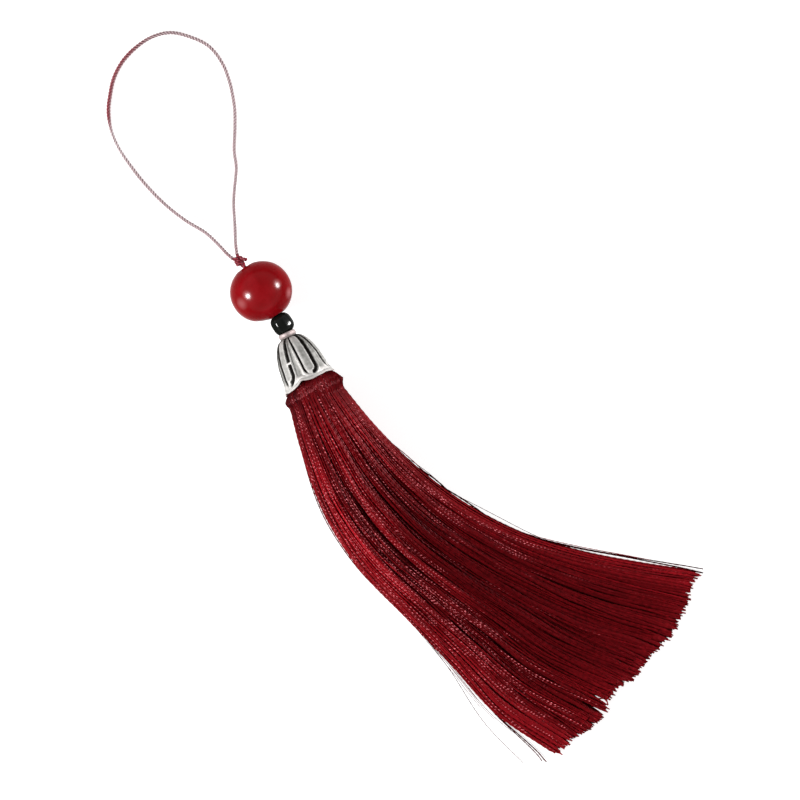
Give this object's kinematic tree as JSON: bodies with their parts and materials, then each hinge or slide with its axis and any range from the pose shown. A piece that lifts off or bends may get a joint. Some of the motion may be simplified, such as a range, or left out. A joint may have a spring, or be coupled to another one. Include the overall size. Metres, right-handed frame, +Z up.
{
  "type": "silk tassel with beads and cap",
  "caption": "Silk thread tassel on a cord loop, with a round red bead, a small black bead and a silver tulip cap.",
  "frame": {"origin": "on the surface that the tassel lies on, under the middle of the box round its beads, cap and skirt, without the loop cord and its knot", "axes": "+X from the hanging loop to the skirt's ends, +Z up off the surface, +Y to the side that the skirt sweeps towards"},
  "size_m": [0.156, 0.0557, 0.0118],
  "materials": {
    "loop_cord": "twisted cord, satin",
    "red_bead": "polished, softly mottled",
    "black_bead": "polished, opaque",
    "antique_silver": "worn silver plate, blackened in its grooves",
    "silk_thread": "lustrous twisted thread"
  },
  "bodies": {
    "root": {"hanging_loop": "loop_cord", "knot": "loop_cord", "red_bead": "red_bead", "black_spacer": "black_bead", "cap": "antique_silver", "skirt": "silk_thread"}
  },
  "joints": []
}
